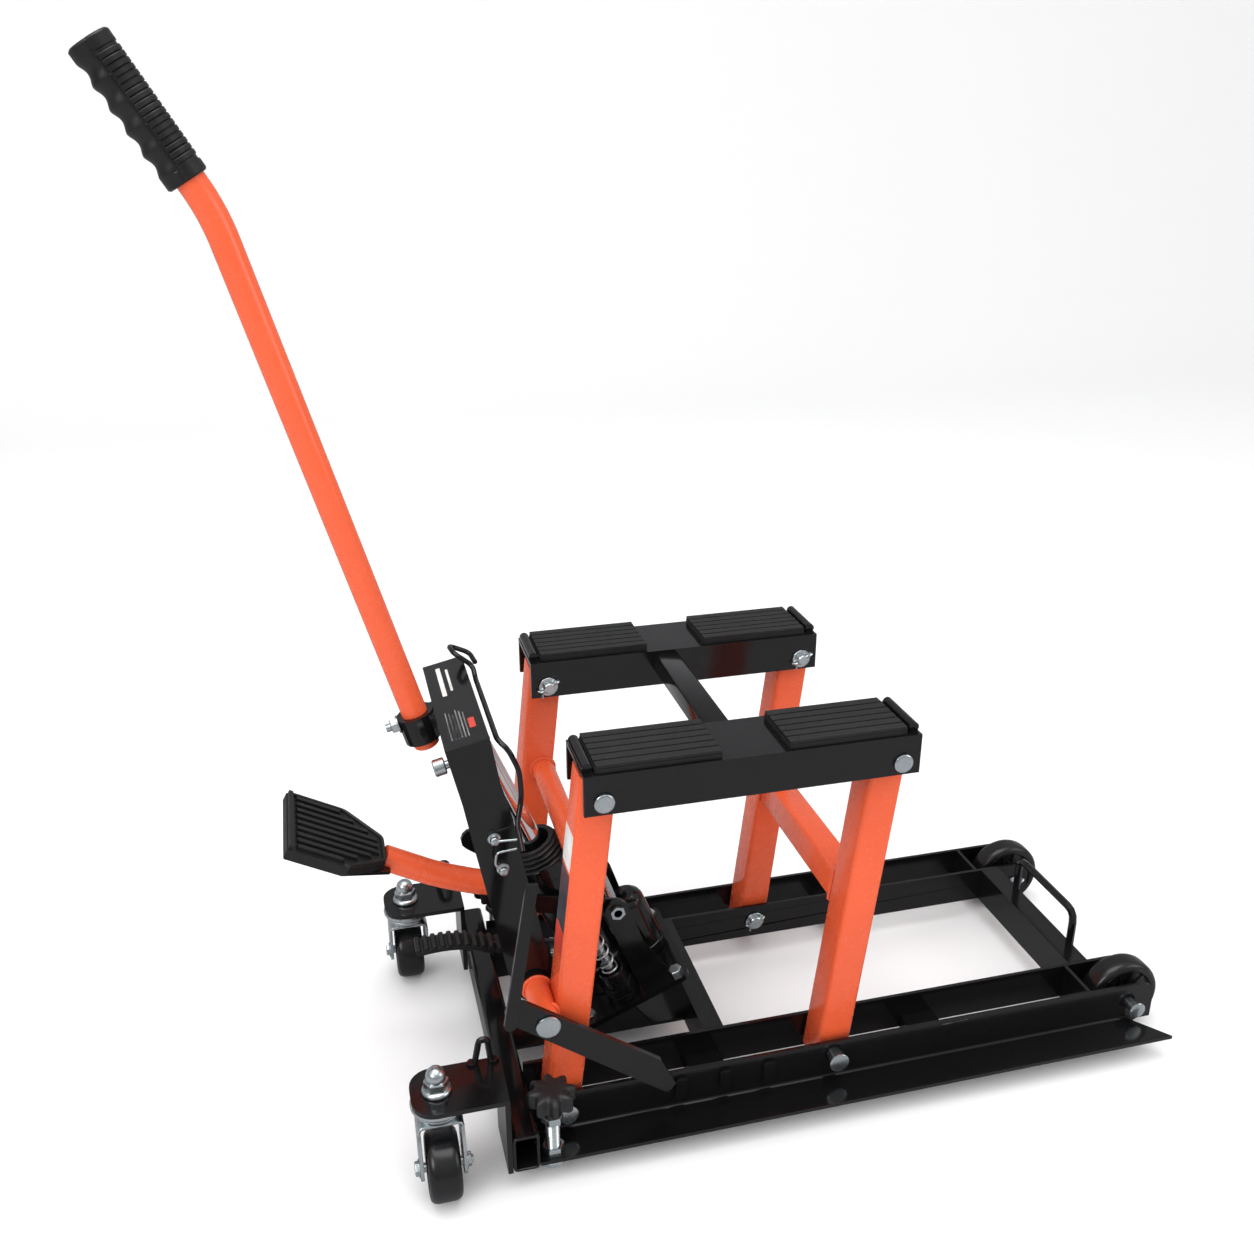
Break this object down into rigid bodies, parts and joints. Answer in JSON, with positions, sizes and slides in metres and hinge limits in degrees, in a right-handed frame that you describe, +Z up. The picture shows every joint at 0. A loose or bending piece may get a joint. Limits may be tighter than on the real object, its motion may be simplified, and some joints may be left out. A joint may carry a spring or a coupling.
{
  "type": "motorcycle lift jack",
  "caption": "Foot-pumped hydraulic lift jack with a wheeled base, folding parallel arms, padded beams, safety lock bars and a tall bent handle.",
  "frame": {"origin": "middle of the bounding box, on the floor", "axes": "+X from the handle end to the fixed wheels, +Y to the left of someone standing at the handle, +Z up"},
  "size_m": [1.0112, 0.416, 1.0211],
  "materials": {
    "black_paint": "glossy",
    "orange_paint": "glossy",
    "zinc": "bright zinc",
    "chrome": "polished",
    "rubber": "matte",
    "wheel_plastic": "satin",
    "knob_plastic": "satin"
  },
  "bodies": {
    "frame": {"rail_outer_left": "black_paint", "rail_outer_right": "black_paint", "rail_inner_left": "black_paint", "rail_inner_right": "black_paint", "rear_tube": "black_paint", "mid_cross_member": "black_paint", "front_cross_member": "black_paint", "caster_bracket_left": "black_paint", "caster_bracket_right": "black_paint", "rear_lower_pin_left": "zinc", "rear_lower_pin_right": "zinc", "front_lower_pin_left": "zinc", "front_lower_pin_right": "zinc", "wheel_axle_left": "zinc", "wheel_axle_right": "zinc"},
    "rear_arms": {"rear_arm_left": "orange_paint", "rear_arm_right": "orange_paint", "rear_cross_tube": "orange_paint"},
    "front_arms": {"front_arm_left": "orange_paint", "front_arm_right": "orange_paint", "front_brace": "orange_paint"},
    "platform": {"beam_left": "black_paint", "beam_right": "black_paint", "rear_pad_left": "rubber", "rear_pad_right": "rubber", "front_pad_left": "rubber", "front_pad_right": "rubber", "rear_upper_pin_left": "zinc", "rear_upper_pin_right": "zinc", "front_upper_pin_left": "zinc", "front_upper_pin_right": "zinc", "platform_bar": "black_paint"},
    "yoke": {"yoke": "black_paint", "release_rod": "black_paint"},
    "handle": {"handle_tube": "orange_paint", "handle_grip": "rubber"},
    "hydraulic_unit": {"unit_base": "black_paint", "main_cylinder": "black_paint", "ram_boot": "rubber", "oil_tank": "black_paint", "pump_body": "black_paint", "release_bolt": "zinc"},
    "ram": {"ram_rod": "chrome"},
    "pump_lever": {"pump_lever": "orange_paint", "pump_pedal_pad": "rubber"},
    "plunger": {"pump_plunger": "zinc"},
    "release_pedal": {"release_pedal": "rubber"},
    "lock_pins": {"lock_pin_left": "zinc", "lock_pin_right": "zinc"},
    "lock_left": {"lock_bar_left": "black_paint"},
    "lock_right": {"lock_bar_right": "black_paint"},
    "caster_left": {"caster_fork_left": "zinc"},
    "caster_right": {"caster_fork_right": "zinc"},
    "caster_wheel_left": {"caster_wheel_left": "wheel_plastic"},
    "caster_wheel_right": {"caster_wheel_right": "wheel_plastic"},
    "front_wheel_left": {"front_wheel_left": "wheel_plastic"},
    "front_wheel_right": {"front_wheel_right": "wheel_plastic"},
    "floor_screw_left": {"floor_screw_left": "knob_plastic"},
    "floor_screw_right": {"floor_screw_right": "knob_plastic"}
  },
  "joints": [
    {"name": "lift", "type": "hinge", "parent": "frame", "child": "rear_arms", "pos_m": [-0.17836, 0, 0.05], "axis": [0, 1, 0], "range_deg": [0, 70]},
    {"name": "front_arm_pivot", "type": "hinge", "parent": "frame", "child": "front_arms", "pos_m": [0.10864, 0, 0.05], "axis": [0, 1, 0], "range_deg": [0, 70]},
    {"name": "platform_pivot", "type": "hinge", "parent": "rear_arms", "child": "platform", "pos_m": [-0.13935, 0, 0.39782], "axis": [0, 1, 0], "range_deg": [-70, 0]},
    {"name": "yoke_pivot", "type": "hinge", "parent": "rear_arms", "child": "yoke", "pos_m": [-0.19531, 0, 0.16259], "axis": [0, 1, 0], "range_deg": [-70, 0]},
    {"name": "handle_clamp", "type": "slide", "parent": "yoke", "child": "handle", "axis": [-0.2689, 0, 0.9632], "range_m": [0, 0.05]},
    {"name": "unit_pivot", "type": "hinge", "parent": "frame", "child": "hydraulic_unit", "pos_m": [-0.09436, 0, 0.065], "axis": [0, 1, 0], "range_deg": [0, 18.5]},
    {"name": "ram_pivot", "type": "hinge", "parent": "yoke", "child": "ram", "pos_m": [-0.23817, 0, 0.41133], "axis": [0, 1, 0], "range_deg": [0, 18.5]},
    {"name": "pump_stroke", "type": "hinge", "parent": "hydraulic_unit", "child": "pump_lever", "pos_m": [-0.09786, 0, 0.1935], "axis": [0, 1, 0], "range_deg": [-20, 0], "stiffness_Nm_per_rad": 20, "springref_deg": 34.38},
    {"name": "plunger_stroke", "type": "slide", "parent": "hydraulic_unit", "child": "plunger", "axis": [0.3835, 0, -0.9235], "range_m": [0, 0.0105]},
    {"name": "release_stroke", "type": "hinge", "parent": "hydraulic_unit", "child": "release_pedal", "pos_m": [-0.14936, 0.055, 0.091], "axis": [0, 1, 0], "range_deg": [-10, 0], "stiffness_Nm_per_rad": 3, "springref_deg": 34.38},
    {"name": "lock_pin_turn", "type": "hinge", "parent": "rear_arms", "child": "lock_pins", "pos_m": [-0.19531, 0, 0.16259], "axis": [0, 1, 0], "range_deg": [-89, 0]},
    {"name": "lock_left_lift", "type": "hinge", "parent": "lock_pins", "child": "lock_left", "pos_m": [-0.19531, 0, 0.16259], "axis": [0, 1, 0], "range_deg": [-14, 0]},
    {"name": "lock_right_lift", "type": "hinge", "parent": "lock_pins", "child": "lock_right", "pos_m": [-0.19531, 0, 0.16259], "axis": [0, 1, 0], "range_deg": [-14, 0]},
    {"name": "caster_left_swivel", "type": "hinge", "parent": "frame", "child": "caster_left", "pos_m": [-0.30336, 0.16, 0.093], "axis": [0, 0, 1], "continuous": true},
    {"name": "caster_left_roll", "type": "hinge", "parent": "caster_left", "child": "caster_wheel_left", "pos_m": [-0.30336, 0.174, 0.034], "axis": [1, 0, 0], "continuous": true},
    {"name": "front_wheel_left_roll", "type": "hinge", "parent": "frame", "child": "front_wheel_left", "pos_m": [0.46264, 0.124, 0.043], "axis": [0, 1, 0], "continuous": true},
    {"name": "floor_screw_left_travel", "type": "slide", "parent": "frame", "child": "floor_screw_left", "axis": [0, 0, 1], "range_m": [-0.0155, 0.001]},
    {"name": "caster_right_swivel", "type": "hinge", "parent": "frame", "child": "caster_right", "pos_m": [-0.30336, -0.16, 0.093], "axis": [0, 0, 1], "continuous": true},
    {"name": "caster_right_roll", "type": "hinge", "parent": "caster_right", "child": "caster_wheel_right", "pos_m": [-0.30336, -0.174, 0.034], "axis": [1, 0, 0], "continuous": true},
    {"name": "front_wheel_right_roll", "type": "hinge", "parent": "frame", "child": "front_wheel_right", "pos_m": [0.46264, -0.124, 0.043], "axis": [0, 1, 0], "continuous": true},
    {"name": "floor_screw_right_travel", "type": "slide", "parent": "frame", "child": "floor_screw_right", "axis": [0, 0, 1], "range_m": [-0.0155, 0.001]}
  ],
  "couplings": [
    {"joint": "front_arm_pivot", "follows": "lift", "ratio": 1},
    {"joint": "platform_pivot", "follows": "lift", "ratio": -1},
    {"joint": "yoke_pivot", "follows": "lift", "ratio": -1},
    {"joint": "unit_pivot", "follows": "lift", "ratio": 0.25846},
    {"joint": "ram_pivot", "follows": "lift", "ratio": 0.25846},
    {"joint": "lock_pin_turn", "follows": "lift", "ratio": -1.2632},
    {"joint": "plunger_stroke", "follows": "pump_stroke", "m_per_rad": -0.028}
  ]
}
